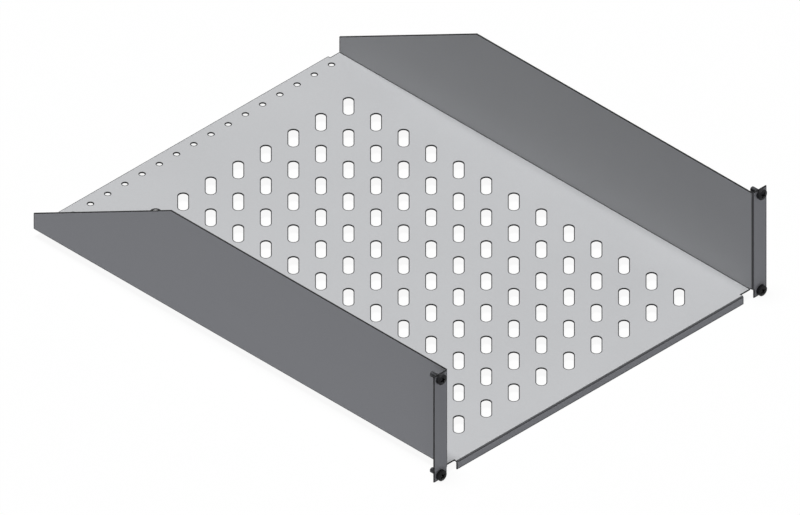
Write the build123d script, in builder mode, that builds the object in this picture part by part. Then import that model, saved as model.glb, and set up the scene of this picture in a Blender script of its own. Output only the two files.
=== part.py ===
from build123d import *
import os
from math import floor, sqrt

# A three-unit rack shelf folded from one sheet, with the four screws that hold it to the rack.
# X runs across the rack, Y towards its back and Z up. The origin is the centre of the screw
# pattern, in the plane where the backs of the ears meet the rack's rails.
os.makedirs("parts", exist_ok=True)

# Sheet and its folds
sheet = 1.2
bend_inside = 0.6

# Ears
panel_height = 132.5
ear_width = 18.8
screw_from_side = 8.75
screw_from_end = 5.925

# Tray
tray_width = 445.0
tray_depth = 599.0
lip_drop = 10.0
notch_depth = 4.0
notch_width = 13.3

# Side walls, whose top edges slope down towards the rear
slope_start = 400.0
wall_rear_height = 19.5

# Slots in the floor, at 45 degrees to the walls
slot_length = 31.0
slot_width = 10.4
slot_angle = 45.0
slot_pitch = 40.0
first_slot_row = 44.4
slot_side_margin = 45.0
slot_rear_margin = 50.0

# Row of round holes along the rear edge
rear_hole_diameter = 6.0
rear_hole_pitch = 25.0
rear_hole_from_edge = 10.0
rear_hole_side_margin = 15.0

# Rack screws, M6 with a flat pan head and a cross recess
screw_diameter = 6.0
screw_length = 12.5
screw_point = 0.4
neck_diameter = 5.35
head_diameter = 12.0
head_height = 4.6
head_crown_radius = 25.0
head_edge_round = 0.6
recess_span = 6.9
recess_wing = 1.8
recess_depth = 3.2
recess_root_span = 3.6
recess_root_wing = 1.3

# Ear holes, slotted sideways so that the shelf can be lined up
ear_hole_clearance = 0.4
ear_hole_travel = 3.5

# Levels and half widths that follow from the sizes above
upper_edge = panel_height / 2
lower_edge = -panel_height / 2
floor_top = lower_edge + lip_drop
floor_under = floor_top - sheet
bend_outside = bend_inside + sheet
fold_top = floor_under + bend_outside
wall_outer = tray_width / 2
wall_inner = wall_outer - sheet
ear_edge = wall_outer + ear_width
ear_inner_edge = wall_outer + bend_inside
lip_half = wall_inner - notch_width
front_face = -sheet
front_cut = front_face + notch_depth
rear_face = tray_depth + notch_depth
screw_span = 2 * (ear_edge - screw_from_side)
screw_rise = panel_height - 2 * screw_from_end

# Slots and holes fill the floor symmetrically about its middle
slot_columns = 2 * floor((wall_inner - slot_side_margin) / slot_pitch) + 1
rear_hole_row = tray_depth - rear_hole_from_edge
slot_rows = floor((rear_hole_row - slot_rear_margin - first_slot_row) / slot_pitch) + 1
slot_field_middle = first_slot_row + (slot_rows - 1) * slot_pitch / 2
rear_hole_count = 2 * floor((wall_inner - rear_hole_side_margin) / rear_hole_pitch) + 1

with BuildPart() as rack_shelf:
    # Floor and side walls, one channel folded up from the sheet
    with BuildSketch(Plane.XZ.offset(-front_cut)):
        with BuildLine():
            FilletPolyline(
                (-wall_inner, upper_edge),
                (-wall_inner, floor_top),
                (wall_inner, floor_top),
                (wall_inner, upper_edge),
                radius=bend_inside,
            )
            offset(amount=sheet, side=Side.RIGHT)
        make_face()
    extrude(amount=front_cut - tray_depth)

    # Front and rear lips, folded down from the floor between the corner notches
    with BuildSketch(Plane.YZ.offset(-lip_half)):
        with BuildLine():
            FilletPolyline(
                (front_face + sheet, lower_edge),
                (front_face + sheet, floor_under),
                (rear_face - sheet, floor_under),
                (rear_face - sheet, lower_edge),
                radius=bend_inside,
            )
            offset(amount=sheet, side=Side.LEFT)
        make_face()
    extrude(amount=2 * lip_half)

    # Ears, folded outwards from the front ends of the walls above the floor's own fold
    with BuildSketch(Plane.XY.offset(fold_top)):
        with BuildLine():
            FilletPolyline(
                (wall_outer, 2 * front_cut),
                (wall_outer, 0),
                (ear_edge, 0),
                radius=bend_inside,
            )
            offset(amount=sheet, side=Side.RIGHT)
        make_face()
        mirror(about=Plane.YZ)
    extrude(amount=upper_edge - fold_top)

    # The flat of each ear runs on down to the lower edge of the lips
    with BuildSketch(Plane.XZ):
        with Locations((ear_edge, lower_edge)):
            Rectangle(ear_edge - ear_inner_edge, lip_drop + sheet, align=(Align.MAX, Align.MIN))
        mirror(about=Plane.YZ)
    extrude(amount=sheet)

    # Sloping rear part of the side walls
    with BuildSketch(Plane.YZ):
        with BuildLine():
            Polyline(
                (slope_start, upper_edge),
                (tray_depth, floor_top + wall_rear_height),
                (tray_depth, upper_edge),
                close=True,
            )
        make_face()
    extrude(amount=wall_outer, both=True, mode=Mode.SUBTRACT)

    # Slots and rear holes through the floor
    with BuildSketch(Plane.XY.offset(floor_top)):
        with Locations((0, slot_field_middle)):
            with GridLocations(slot_pitch, slot_pitch, slot_columns, slot_rows):
                SlotOverall(slot_length, slot_width, rotation=slot_angle)
        with Locations((0, rear_hole_row)):
            with GridLocations(rear_hole_pitch, rear_hole_pitch, rear_hole_count, 1):
                Circle(rear_hole_diameter / 2)
    extrude(amount=-sheet, mode=Mode.SUBTRACT)

    # Screw holes in the ears
    ear_hole_width = screw_diameter + 2 * ear_hole_clearance
    with BuildSketch(Plane.XZ):
        with GridLocations(screw_span, screw_rise, 2, 2):
            SlotOverall(ear_hole_width + ear_hole_travel, ear_hole_width)
    extrude(amount=sheet, mode=Mode.SUBTRACT)

rack_shelf.part.label = "rack_shelf"
export_step(rack_shelf.part, "parts/rack_shelf.step")

# One screw on its own axis, with the seat under its head at zero and its point below
head_radius = head_diameter / 2
head_side = head_height - head_crown_radius + sqrt(head_crown_radius**2 - head_radius**2)
with BuildPart() as rack_screw:
    with BuildSketch(Plane.XZ) as head_section:
        with BuildLine():
            Polyline((0, head_height), (0, 0), (head_radius, 0), (head_radius, head_side))
            RadiusArc((head_radius, head_side), (0, head_height), -head_crown_radius)
        make_face()
        head_rim = head_section.vertices().group_by(Axis.X)[-1].sort_by(Axis.Y)[-1]
        fillet(head_rim, radius=head_edge_round)
    revolve(axis=Axis.Z)

    # The neck is as thin as the blank that the thread is rolled on, and as long as the ear is thick
    with BuildSketch():
        Circle(neck_diameter / 2)
    extrude(amount=-sheet)
    with BuildSketch(Plane.XY.offset(-sheet)):
        Circle(screw_diameter / 2)
    extrude(amount=sheet - screw_length)
    chamfer(rack_screw.edges().group_by(Axis.Z)[0], length=screw_point)

    # Cross recess, tapering towards its root
    with BuildSketch(Plane.XY.offset(head_height)):
        Rectangle(recess_span, recess_wing)
        Rectangle(recess_wing, recess_span)
    with BuildSketch(Plane.XY.offset(head_height - recess_depth)):
        Rectangle(recess_root_span, recess_root_wing)
        Rectangle(recess_root_wing, recess_root_span)
    loft(ruled=True, mode=Mode.SUBTRACT)

# The four screws, each head seated on the front of an ear
with BuildPart(Plane.XZ.offset(-front_face)) as rack_screws:
    with GridLocations(screw_span, screw_rise, 2, 2):
        add(rack_screw.part)

rack_screws.part.label = "rack_screws"
export_step(rack_screws.part, "parts/rack_screws.step")
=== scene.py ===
import math

import bmesh
import bpy
from mathutils import Matrix, Vector
from mathutils.bvhtree import BVHTree


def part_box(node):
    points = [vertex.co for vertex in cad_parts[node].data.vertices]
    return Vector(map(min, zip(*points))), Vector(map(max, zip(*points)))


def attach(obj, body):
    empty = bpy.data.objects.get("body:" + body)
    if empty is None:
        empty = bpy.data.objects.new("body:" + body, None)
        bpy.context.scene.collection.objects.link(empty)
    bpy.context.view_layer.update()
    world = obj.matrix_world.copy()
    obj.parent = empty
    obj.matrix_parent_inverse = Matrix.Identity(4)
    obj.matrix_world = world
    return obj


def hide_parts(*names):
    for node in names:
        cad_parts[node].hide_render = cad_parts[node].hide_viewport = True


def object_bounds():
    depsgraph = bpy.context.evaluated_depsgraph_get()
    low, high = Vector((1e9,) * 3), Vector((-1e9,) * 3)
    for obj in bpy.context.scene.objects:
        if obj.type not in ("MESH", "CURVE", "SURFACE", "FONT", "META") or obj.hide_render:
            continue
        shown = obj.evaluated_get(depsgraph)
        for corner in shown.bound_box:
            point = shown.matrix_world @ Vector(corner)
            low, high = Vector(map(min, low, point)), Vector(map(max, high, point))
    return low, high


# A rack shelf folded from one coated sheet, with four black screws in its ears.
# Everything is in metres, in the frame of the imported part: X across, Y to the back, Z up.
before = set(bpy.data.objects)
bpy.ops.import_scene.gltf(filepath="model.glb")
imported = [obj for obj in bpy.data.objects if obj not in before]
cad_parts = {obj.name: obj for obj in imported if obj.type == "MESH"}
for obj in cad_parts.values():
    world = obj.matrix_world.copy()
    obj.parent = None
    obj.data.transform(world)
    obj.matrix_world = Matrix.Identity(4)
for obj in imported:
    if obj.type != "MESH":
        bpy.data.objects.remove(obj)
cad_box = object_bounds()
MM = 0.001

# The drawing's view is isometric, so the camera has no perspective. It looks from the front
# left and above, and its target is the point of the shelf's floor in the middle of the frame.
VIEW_AZIMUTH = math.radians(-45)
VIEW_ELEVATION = math.asin(1 / math.sqrt(3))
VIEW_WIDTH = 0.8213
VIEW_TARGET = Vector((0.0071, 0.2967, -0.05625))
CAMERA_DISTANCE = 2.5

# Light levels, where an upward face lit at 1 renders its own colour. The lamp leans a little
# to the left and to the back, so the side walls are lighter than the ears.
KEY_LEVEL = 0.93
KEY_SOFTNESS = math.radians(16)
KEY_LEFT = math.radians(2.8)
KEY_BACK = math.radians(3)
AMBIENT_LEVEL = 0.06
STAGE_SIZE = 12.0
STAGE_GAP = 0.02 * MM
STAGE_BOUNCE = (0.395, 0.40, 0.435)
STAGE_SHADOWED = (0.97, 0.97, 0.97)
STAGE_WHITE_SHARE = 0.93

# Most of a noise lies between these two values
NOISE_LOW = 0.3
NOISE_HIGH = 0.7

# Colours, linear
COAT_COLOR = (0.515, 0.522, 0.535)
# Painted shade: the folds are coloured dark to stand for shade along each bend and crease
FOLD_SHADE_COLOR = (0.075, 0.076, 0.081)
EDGE_COLOR = (0.010, 0.010, 0.011)
OXIDE_COLOR = (0.018, 0.018, 0.020)
WORN_COLOR = (0.100, 0.102, 0.108)

# The sheet, and the bare rim that deburring leaves beside each cut. Its faces have one of three
# finishes: the coat, painted shade on the folds, and the bare cut. A face is on a fold if it leans
# by more than FOLD_LEAN, and on a cut if the metal behind it is deeper than CUT_DEPTH.
SHEET = 1.2 * MM
RIM_WIDTH = 0.9 * MM
COAT, FOLD, CUT = range(3)
FOLD_LEAN = math.radians(3)
CUT_DEPTH = 1.5 * SHEET
UNDER_SKIN = 0.01 * SHEET
WELD_DISTANCE = 0.001 * MM
SHARP_ANGLE = math.radians(32)

# The sheet's UV map, for baking its materials to textures. The coat lies flat on
# the lower part. Above it, all folds share one spot and all cuts another, far enough apart
# that a texture keeps the edges of the coat sharp.
BAKE_MAP = "OFBake"
COAT_SHARE = 0.94
SPOT_RADIUS = 0.016
SPOT_CENTERS = {FOLD: Vector((0.05, 0.975)), CUT: Vector((0.15, 0.975))}
ISLAND_ANGLE = math.radians(66)
ISLAND_MARGIN = 0.004

# M6 pan-head screw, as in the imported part, with its thread. The thread's crest and root are
# each flat for a share of the pitch.
SCREW_RADIUS = 3.0 * MM
SCREW_PITCH = 1.0 * MM
THREAD_DEPTH = 0.61 * MM
THREAD_FLAT = 0.1
SCREW_LENGTH = 12.5 * MM
SCREW_NECK = 1.2 * MM
NECK_RADIUS = 2.675 * MM
SCREW_POINT = 0.4 * MM
HEAD_RADIUS = 6.0 * MM
HEAD_HEIGHT = 4.6 * MM
CROWN_RADIUS = 25.0 * MM
HEAD_ROUND = 0.6 * MM
SEAT_ROUND = 0.25 * MM
RECESS_DEPTH = 3.2 * MM
RECESS_MOUTH = (6.9 * MM, 1.8 * MM)
RECESS_ROOT = (3.6 * MM, 1.3 * MM)
RECESS_OVERSHOOT = 0.25
LATHE_STEPS = 72
THREAD_STEPS = 40
THREAD_ROWS_PER_TURN = 8


def new_material(name):
    """A material with its node tree, its Principled shader and a helper that links two sockets."""
    material = bpy.data.materials.new(name)
    material.use_nodes = True
    nodes = material.node_tree.nodes
    return material, nodes, nodes["Principled BSDF"], material.node_tree.links.new


def noise_node(nodes, link, place, scale, detail, roughness):
    """Noise in the part's own coordinates, where scale is the number of blotches a metre."""
    noise = nodes.new("ShaderNodeTexNoise")
    noise.inputs["Scale"].default_value = scale
    noise.inputs["Detail"].default_value = detail
    noise.inputs["Roughness"].default_value = roughness
    link(place.outputs["Object"], noise.inputs["Vector"])
    return noise


def range_node(nodes, link, source, low, high):
    """Maps the middle of a noise onto the range from low to high."""
    spread = nodes.new("ShaderNodeMapRange")
    spread.inputs["From Min"].default_value = NOISE_LOW
    spread.inputs["From Max"].default_value = NOISE_HIGH
    spread.inputs["To Min"].default_value = low
    spread.inputs["To Max"].default_value = high
    link(source, spread.inputs["Value"])
    return spread


def tinted(nodes, link, color, shade):
    """The colour times a shade that varies over the surface."""
    mix = nodes.new("ShaderNodeMix")
    mix.data_type = "RGBA"
    mix.blend_type = "MULTIPLY"
    mix.inputs["Factor"].default_value = 1.0
    mix.inputs["A"].default_value = (*color, 1)
    link(shade, mix.inputs["B"])
    return mix.outputs["Result"]


def sheet_coat(name, color):
    """Satin coat on the sheet: fine orange peel, faint clouding and a soft sheen."""
    material, nodes, shader, link = new_material(name)
    place = nodes.new("ShaderNodeTexCoord")
    clouds = noise_node(nodes, link, place, scale=9.0, detail=3.0, roughness=0.5)
    speckle = noise_node(nodes, link, place, scale=900.0, detail=2.0, roughness=0.6)
    peel = noise_node(nodes, link, place, scale=420.0, detail=2.0, roughness=0.5)
    cloud_shade = range_node(nodes, link, clouds.outputs["Fac"], low=0.985, high=1.015)
    speckle_shade = range_node(nodes, link, speckle.outputs["Fac"], low=0.975, high=1.025)
    shade = nodes.new("ShaderNodeMath")
    shade.operation = "MULTIPLY"
    link(cloud_shade.outputs["Result"], shade.inputs[0])
    link(speckle_shade.outputs["Result"], shade.inputs[1])
    link(tinted(nodes, link, color, shade.outputs["Value"]), shader.inputs["Base Color"])
    sheen = range_node(nodes, link, clouds.outputs["Fac"], low=0.50, high=0.58)
    link(sheen.outputs["Result"], shader.inputs["Roughness"])
    shader.inputs["Specular IOR Level"].default_value = 0.35
    bump = nodes.new("ShaderNodeBump")
    bump.inputs["Strength"].default_value = 0.12
    bump.inputs["Distance"].default_value = 0.05 * MM
    link(peel.outputs["Fac"], bump.inputs["Height"])
    link(bump.outputs["Normal"], shader.inputs["Normal"])
    return material


def steel(name, color, grain, metallic):
    """Mottled steel with a fine uneven sheen, where grain is the number of blotches a metre."""
    material, nodes, shader, link = new_material(name)
    place = nodes.new("ShaderNodeTexCoord")
    patches = noise_node(nodes, link, place, scale=grain, detail=3.0, roughness=0.6)
    shade = range_node(nodes, link, patches.outputs["Fac"], low=0.75, high=1.3)
    link(tinted(nodes, link, color, shade.outputs["Result"]), shader.inputs["Base Color"])
    sheen = range_node(nodes, link, patches.outputs["Fac"], low=0.30, high=0.44)
    link(sheen.outputs["Result"], shader.inputs["Roughness"])
    shader.inputs["Metallic"].default_value = metallic
    shader.inputs["Specular IOR Level"].default_value = 0.12
    bump = nodes.new("ShaderNodeBump")
    bump.inputs["Strength"].default_value = 0.15
    bump.inputs["Distance"].default_value = 0.02 * MM
    link(patches.outputs["Fac"], bump.inputs["Height"])
    link(bump.outputs["Normal"], shader.inputs["Normal"])
    return material


def seen_directly(nodes, link):
    """1 for a ray from the camera, a mirror or a glass, and 0 for light that bounces."""
    path = nodes.new("ShaderNodeLightPath")
    either = path.outputs["Is Camera Ray"]
    for kind in ("Is Glossy Ray", "Is Transmission Ray"):
        largest = nodes.new("ShaderNodeMath")
        largest.operation = "MAXIMUM"
        link(either, largest.inputs[0])
        link(path.outputs[kind], largest.inputs[1])
        either = largest.outputs["Value"]
    return either


def stage_material():
    """A floor that shows white with the object's shadow in it, and gives back a plain bounce."""
    material, nodes, shader, link = new_material("stage_floor")
    nodes.remove(shader)
    bounce = nodes.new("ShaderNodeBsdfDiffuse")
    bounce.inputs["Color"].default_value = (*STAGE_BOUNCE, 1)
    white = nodes.new("ShaderNodeEmission")
    shadowed = nodes.new("ShaderNodeBsdfDiffuse")
    shadowed.inputs["Color"].default_value = (*STAGE_SHADOWED, 1)
    shown = nodes.new("ShaderNodeMixShader")
    shown.inputs["Fac"].default_value = STAGE_WHITE_SHARE
    link(shadowed.outputs["BSDF"], shown.inputs[1])
    link(white.outputs["Emission"], shown.inputs[2])
    choice = nodes.new("ShaderNodeMixShader")
    link(seen_directly(nodes, link), choice.inputs["Fac"])
    link(bounce.outputs["BSDF"], choice.inputs[1])
    link(shown.outputs["Shader"], choice.inputs[2])
    link(choice.outputs["Shader"], nodes["Material Output"].inputs["Surface"])
    return material


def stage_and_light():
    """The floor under the shelf, a white surround, soft ambient light and a broad lamp overhead."""
    half = STAGE_SIZE / 2
    corners = [(-half, -half, 0), (half, -half, 0), (half, half, 0), (-half, half, 0)]
    mesh = bpy.data.meshes.new("stage_floor")
    mesh.from_pydata(corners, [], [(0, 1, 2, 3)])
    stage = bpy.data.objects.new("stage_floor", mesh)
    stage.location = (0, 0, cad_box[0][2] - STAGE_GAP)
    bpy.context.scene.collection.objects.link(stage)
    mesh.materials.append(stage_material())

    world = bpy.data.worlds.new("surround")
    world.use_nodes = True
    bpy.context.scene.world = world
    nodes = world.node_tree.nodes
    link = world.node_tree.links.new
    ambient = nodes["Background"]
    ambient.inputs["Color"].default_value = (1, 1, 1, 1)
    ambient.inputs["Strength"].default_value = AMBIENT_LEVEL
    white = nodes.new("ShaderNodeBackground")
    white.inputs["Color"].default_value = (1, 1, 1, 1)
    white.inputs["Strength"].default_value = 1.0
    choice = nodes.new("ShaderNodeMixShader")
    link(seen_directly(nodes, link), choice.inputs["Fac"])
    link(ambient.outputs["Background"], choice.inputs[1])
    link(white.outputs["Background"], choice.inputs[2])
    link(choice.outputs["Shader"], nodes["World Output"].inputs["Surface"])

    lamp = bpy.data.lights.new("overhead_lamp", "SUN")
    lamp.energy = KEY_LEVEL * math.pi
    lamp.angle = KEY_SOFTNESS
    overhead = bpy.data.objects.new("overhead_lamp", lamp)
    overhead.rotation_euler = (-KEY_BACK, -KEY_LEFT, 0)
    bpy.context.scene.collection.objects.link(overhead)


def camera():
    """The isometric camera, placed so that the part lies where the photograph shows it."""
    lens = bpy.data.cameras.new("camera")
    lens.type = "ORTHO"
    lens.ortho_scale = VIEW_WIDTH
    lens.clip_end = 4 * CAMERA_DISTANCE
    viewer = bpy.data.objects.new("camera", lens)
    back = Vector((
        math.sin(VIEW_AZIMUTH) * math.cos(VIEW_ELEVATION),
        -math.cos(VIEW_AZIMUTH) * math.cos(VIEW_ELEVATION),
        math.sin(VIEW_ELEVATION),
    ))
    viewer.location = VIEW_TARGET + back * CAMERA_DISTANCE
    viewer.rotation_euler = back.to_track_quat("Z", "Y").to_euler()
    bpy.context.scene.collection.objects.link(viewer)
    bpy.context.scene.camera = viewer


def arc_points(center, radius, start, end, steps):
    """Points of an arc in the plane of a lathe's profile, from one angle to another."""
    points = []
    for step in range(steps + 1):
        angle = start + (end - start) * step / steps
        points.append((center[0] + radius * math.cos(angle), center[1] + radius * math.sin(angle)))
    return points


def head_profile():
    """Radius and height along a pan head, from the seat's middle over the rim to the crown."""
    crown_center = (0.0, HEAD_HEIGHT - CROWN_RADIUS)
    reach = CROWN_RADIUS - HEAD_ROUND
    rim_x = HEAD_RADIUS - HEAD_ROUND
    rim_center = (rim_x, crown_center[1] + math.sqrt(reach**2 - rim_x**2))
    rim_angle = math.atan2(rim_center[1] - crown_center[1], rim_x)
    seat_center = (HEAD_RADIUS - SEAT_ROUND, SEAT_ROUND)
    profile = [(0.0, 0.0)]
    profile += arc_points(seat_center, SEAT_ROUND, start=-math.pi / 2, end=0, steps=3)
    profile += arc_points(rim_center, HEAD_ROUND, start=0, end=rim_angle, steps=8)
    crown = arc_points(crown_center, CROWN_RADIUS, start=rim_angle, end=math.pi / 2, steps=9)
    profile += crown[1:]
    profile[-1] = (0.0, HEAD_HEIGHT)
    return profile


def lathe(name, profile):
    """A closed solid of revolution about Z. The profile starts and ends on the axis."""
    shape = bmesh.new()
    rings = []
    for radius, height in profile:
        if radius == 0:
            rings.append([shape.verts.new((0, 0, height))])
            continue
        ring = []
        for step in range(LATHE_STEPS):
            angle = 2 * math.pi * step / LATHE_STEPS
            ring.append(shape.verts.new((radius * math.cos(angle), radius * math.sin(angle), height)))
        rings.append(ring)
    join_rings(shape, rings)
    return finished(name, shape)


def join_rings(shape, rings):
    """Quads between rings of equal length, and fans where a ring is a single point."""
    for lower, upper in zip(rings, rings[1:]):
        count = max(len(lower), len(upper))
        for step in range(count):
            after = (step + 1) % count
            if len(lower) == 1:
                shape.faces.new((lower[0], upper[after], upper[step]))
            elif len(upper) == 1:
                shape.faces.new((lower[step], lower[after], upper[0]))
            else:
                shape.faces.new((lower[step], lower[after], upper[after], upper[step]))


def finished(name, shape):
    """Turns a bmesh into an object of the scene, with its faces pointing outwards."""
    bmesh.ops.recalc_face_normals(shape, faces=shape.faces)
    mesh = bpy.data.meshes.new(name)
    shape.to_mesh(mesh)
    shape.free()
    piece = bpy.data.objects.new(name, mesh)
    bpy.context.scene.collection.objects.link(piece)
    return piece


def cross_outline(span, wing):
    """The twelve corners of a cross, in order round it."""
    long, short = span / 2, wing / 2
    corners = []
    for turn in range(4):
        spin = Matrix.Rotation(turn * math.pi / 2, 2)
        for corner in ((long, -short), (long, short), (short, short)):
            corners.append(spin @ Vector(corner))
    return corners


def recess_cutter():
    """The tapered cross that the driver fits, standing from its root to above the crown."""
    shape = bmesh.new()
    root_level = HEAD_HEIGHT - RECESS_DEPTH
    rings = []
    for share in (0, 1 + RECESS_OVERSHOOT):
        span = RECESS_ROOT[0] + (RECESS_MOUTH[0] - RECESS_ROOT[0]) * share
        wing = RECESS_ROOT[1] + (RECESS_MOUTH[1] - RECESS_ROOT[1]) * share
        level = root_level + RECESS_DEPTH * share
        rings.append([shape.verts.new((*corner, level)) for corner in cross_outline(span, wing)])
    join_rings(shape, rings)
    shape.faces.new(rings[0][::-1])
    shape.faces.new(rings[1])
    return finished("recess_cutter", shape)


def clamped(share):
    """A share kept between nothing and all."""
    return min(1.0, max(0.0, share))


def thread_radius(depth, turn):
    """The shank's radius at a depth below the head, after a share of a turn."""
    phase = (depth / SCREW_PITCH - turn) % 1.0
    flank = (abs(2 * phase - 1) - THREAD_FLAT) / (1 - 2 * THREAD_FLAT)
    threaded = SCREW_RADIUS - THREAD_DEPTH * clamped(flank)
    fade_in = clamped((depth - SCREW_NECK) / SCREW_PITCH)
    radius = NECK_RADIUS + (threaded - NECK_RADIUS) * fade_in
    point = SCREW_RADIUS - SCREW_POINT + (SCREW_LENGTH - depth)
    return min(radius, point)


def threaded_shank():
    """The shank from inside the head down to its point, with a rolled thread."""
    shape = bmesh.new()
    rows = round(SCREW_LENGTH / SCREW_PITCH * THREAD_ROWS_PER_TURN)
    rings = [[shape.verts.new((0, 0, SEAT_ROUND))]]
    for row in range(-1, rows + 1):
        depth = SCREW_LENGTH * row / rows if row >= 0 else -SEAT_ROUND
        ring = []
        for step in range(THREAD_STEPS):
            turn = step / THREAD_STEPS
            radius = thread_radius(max(depth, 0.0), turn)
            angle = 2 * math.pi * turn
            ring.append(shape.verts.new((radius * math.cos(angle), radius * math.sin(angle), -depth)))
        rings.append(ring)
    rings.append([shape.verts.new((0, 0, -SCREW_LENGTH))])
    join_rings(shape, rings)
    return finished("threaded_shank", shape)


def boolean(piece, other, operation):
    """Joins or cuts two solids, and leaves the result in the first."""
    step = piece.modifiers.new("boolean", "BOOLEAN")
    step.operation = operation
    step.solver = "EXACT"
    step.object = other
    graph = bpy.context.evaluated_depsgraph_get()
    result = bpy.data.meshes.new_from_object(piece.evaluated_get(graph))
    piece.modifiers.clear()
    piece.data = result
    bpy.data.objects.remove(other)


def is_worn(face):
    """Whether a screw's face is on the thread, where some of the oxide has rubbed off."""
    return SCREW_POINT - SCREW_LENGTH < face.center.z < -SCREW_NECK


def screw_mesh():
    """One whole screw on its own axis, head up, with its seat at zero."""
    screw = lathe("screw", head_profile())
    boolean(screw, recess_cutter(), "DIFFERENCE")
    boolean(screw, threaded_shank(), "UNION")
    mesh = screw.data
    bpy.data.objects.remove(screw)
    mesh.shade_smooth()
    mesh.set_sharp_from_angle(angle=SHARP_ANGLE)
    mesh.materials.clear()
    mesh.materials.append(steel("black_oxide", OXIDE_COLOR, grain=700.0, metallic=0.0))
    mesh.materials.append(steel("worn_steel", WORN_COLOR, grain=700.0, metallic=1.0))
    for face in mesh.polygons:
        face.material_index = 1 if is_worn(face) else 0
    return mesh


def screws():
    """Four screws in the ears, each turned a little differently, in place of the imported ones."""
    low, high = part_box("rack_screws")
    seat = high.y - SCREW_LENGTH
    across = high.x - HEAD_RADIUS
    up = high.z - HEAD_RADIUS
    face_front = Matrix.Rotation(math.pi / 2, 4, "X")
    mesh = screw_mesh()
    places = {
        "screw_left_upper": (-across, up, 8),
        "screw_left_lower": (-across, -up, 31),
        "screw_right_upper": (across, up, 57),
        "screw_right_lower": (across, -up, 20),
    }
    for name, (x, z, turned) in places.items():
        spin = Matrix.Rotation(math.radians(turned), 4, "Z")
        place = Matrix.Translation((x, seat, z)) @ face_front @ spin
        screw = bpy.data.objects.new(name, mesh.copy())
        screw.data.transform(place)
        bpy.context.scene.collection.objects.link(screw)
        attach(screw, "root")
        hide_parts("rack_screws")


def finish_of(face, metal):
    """Whether a face of the sheet is on its coat, on a fold or on a cut edge.

    Behind a cut edge there is more metal than the sheet is thick, and a face of a fold leans.
    """
    depth = metal.ray_cast(face.center - face.normal * UNDER_SKIN, -face.normal)[3]
    if depth is None or depth > CUT_DEPTH:
        return CUT
    square = max(abs(part) for part in face.normal) > math.cos(FOLD_LEAN)
    return COAT if square else FOLD


def coated_flats(shape):
    """The coated faces in groups, one for each flat side of the sheet."""
    left = {face for face in shape.faces if face.material_index == COAT}
    flats = []
    for first in shape.faces:
        if first not in left:
            continue
        left.remove(first)
        flat = [first]
        for face in flat:
            for edge in face.edges:
                for other in edge.link_faces:
                    if other in left:
                        left.remove(other)
                        flat.append(other)
        flats.append(flat)
    return flats


def fill_again(shape, flat, normal):
    """Lays new triangles inside the edges of a flat, since some turn over where its edges move."""
    inside = set(flat)
    border = [
        edge for face in flat for edge in face.edges if not inside.issuperset(edge.link_faces)
    ]
    bmesh.ops.delete(shape, geom=flat, context="FACES")
    filled = bmesh.ops.triangle_fill(shape, use_beauty=True, edges=border, normal=normal)
    faces = [part for part in filled["geom"] if isinstance(part, bmesh.types.BMFace)]
    for face in faces:
        face.normal_update()
        if face.normal.dot(normal) < 0:
            face.normal_flip()


def take_coat_back(mesh):
    """Insets the coat from the cut edges, and leaves the rim beside each of them bare."""
    shape = bmesh.new()
    shape.from_mesh(mesh)
    bmesh.ops.remove_doubles(shape, verts=shape.verts, dist=WELD_DISTANCE)
    shape.normal_update()
    flats = coated_flats(shape)
    normals = [flat[0].normal.copy() for flat in flats]
    coat = [face for flat in flats for face in flat]
    band = bmesh.ops.inset_region(
        shape, faces=coat, thickness=RIM_WIDTH, use_boundary=True, use_even_offset=True
    )["faces"]
    for flat, normal in zip(flats, normals):
        fill_again(shape, flat, normal)
    # The band runs along the folds too, and only its faces beside a cut are rims
    rims = []
    for face in band:
        neighbours = {other for edge in face.edges for other in edge.link_faces}
        if any(other.material_index == CUT for other in neighbours):
            rims.append(face)
    for face in rims:
        face.material_index = CUT
    shape.to_mesh(mesh)
    shape.free()


def lay_out_map(piece):
    """Gives the sheet a UV map that keeps each finish apart from the others."""
    mesh = piece.data
    mesh.uv_layers.new(name=BAKE_MAP)
    bpy.context.view_layer.objects.active = piece
    bpy.ops.object.mode_set(mode="EDIT")
    bpy.ops.mesh.select_all(action="DESELECT")
    piece.active_material_index = COAT
    bpy.ops.object.material_slot_select()
    bpy.ops.uv.smart_project(
        angle_limit=ISLAND_ANGLE, island_margin=ISLAND_MARGIN, scale_to_bounds=True
    )
    bpy.ops.object.mode_set(mode="OBJECT")
    places = mesh.uv_layers[BAKE_MAP].uv
    for face in mesh.polygons:
        for step, corner in enumerate(face.loop_indices):
            if face.material_index == COAT:
                places[corner].vector.y *= COAT_SHARE
                continue
            angle = 2 * math.pi * step / face.loop_total
            reach = SPOT_RADIUS * Vector((math.cos(angle), math.sin(angle)))
            places[corner].vector = SPOT_CENTERS[face.material_index] + reach


def folded_sheet():
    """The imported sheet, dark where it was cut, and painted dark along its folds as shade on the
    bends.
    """
    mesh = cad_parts["rack_shelf"].data.copy()
    packed_normals = mesh.attributes.get("custom_normal")
    if packed_normals:
        mesh.attributes.remove(packed_normals)
    mesh.materials.clear()
    mesh.materials.append(sheet_coat("sheet_coat", COAT_COLOR))
    # The folds get a darker copy of the coat, as painted shade along the bends
    mesh.materials.append(sheet_coat("painted_fold_shade", FOLD_SHADE_COLOR))
    mesh.materials.append(steel("cut_edge", EDGE_COLOR, grain=1500.0, metallic=0.0))
    corners = [vertex.co for vertex in mesh.vertices]
    metal = BVHTree.FromPolygons(corners, [face.vertices for face in mesh.polygons])
    for face in mesh.polygons:
        face.material_index = finish_of(face, metal)
    take_coat_back(mesh)
    mesh.shade_smooth()
    mesh.set_sharp_from_angle(angle=SHARP_ANGLE)
    sheet = bpy.data.objects.new("folded_sheet", mesh)
    bpy.context.scene.collection.objects.link(sheet)
    lay_out_map(sheet)
    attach(sheet, "root")
    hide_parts("rack_shelf")


def view_settings():
    """Colours as written, with no film look."""
    bpy.context.scene.view_settings.view_transform = "Standard"


view_settings()
camera()
stage_and_light()
folded_sheet()
screws()
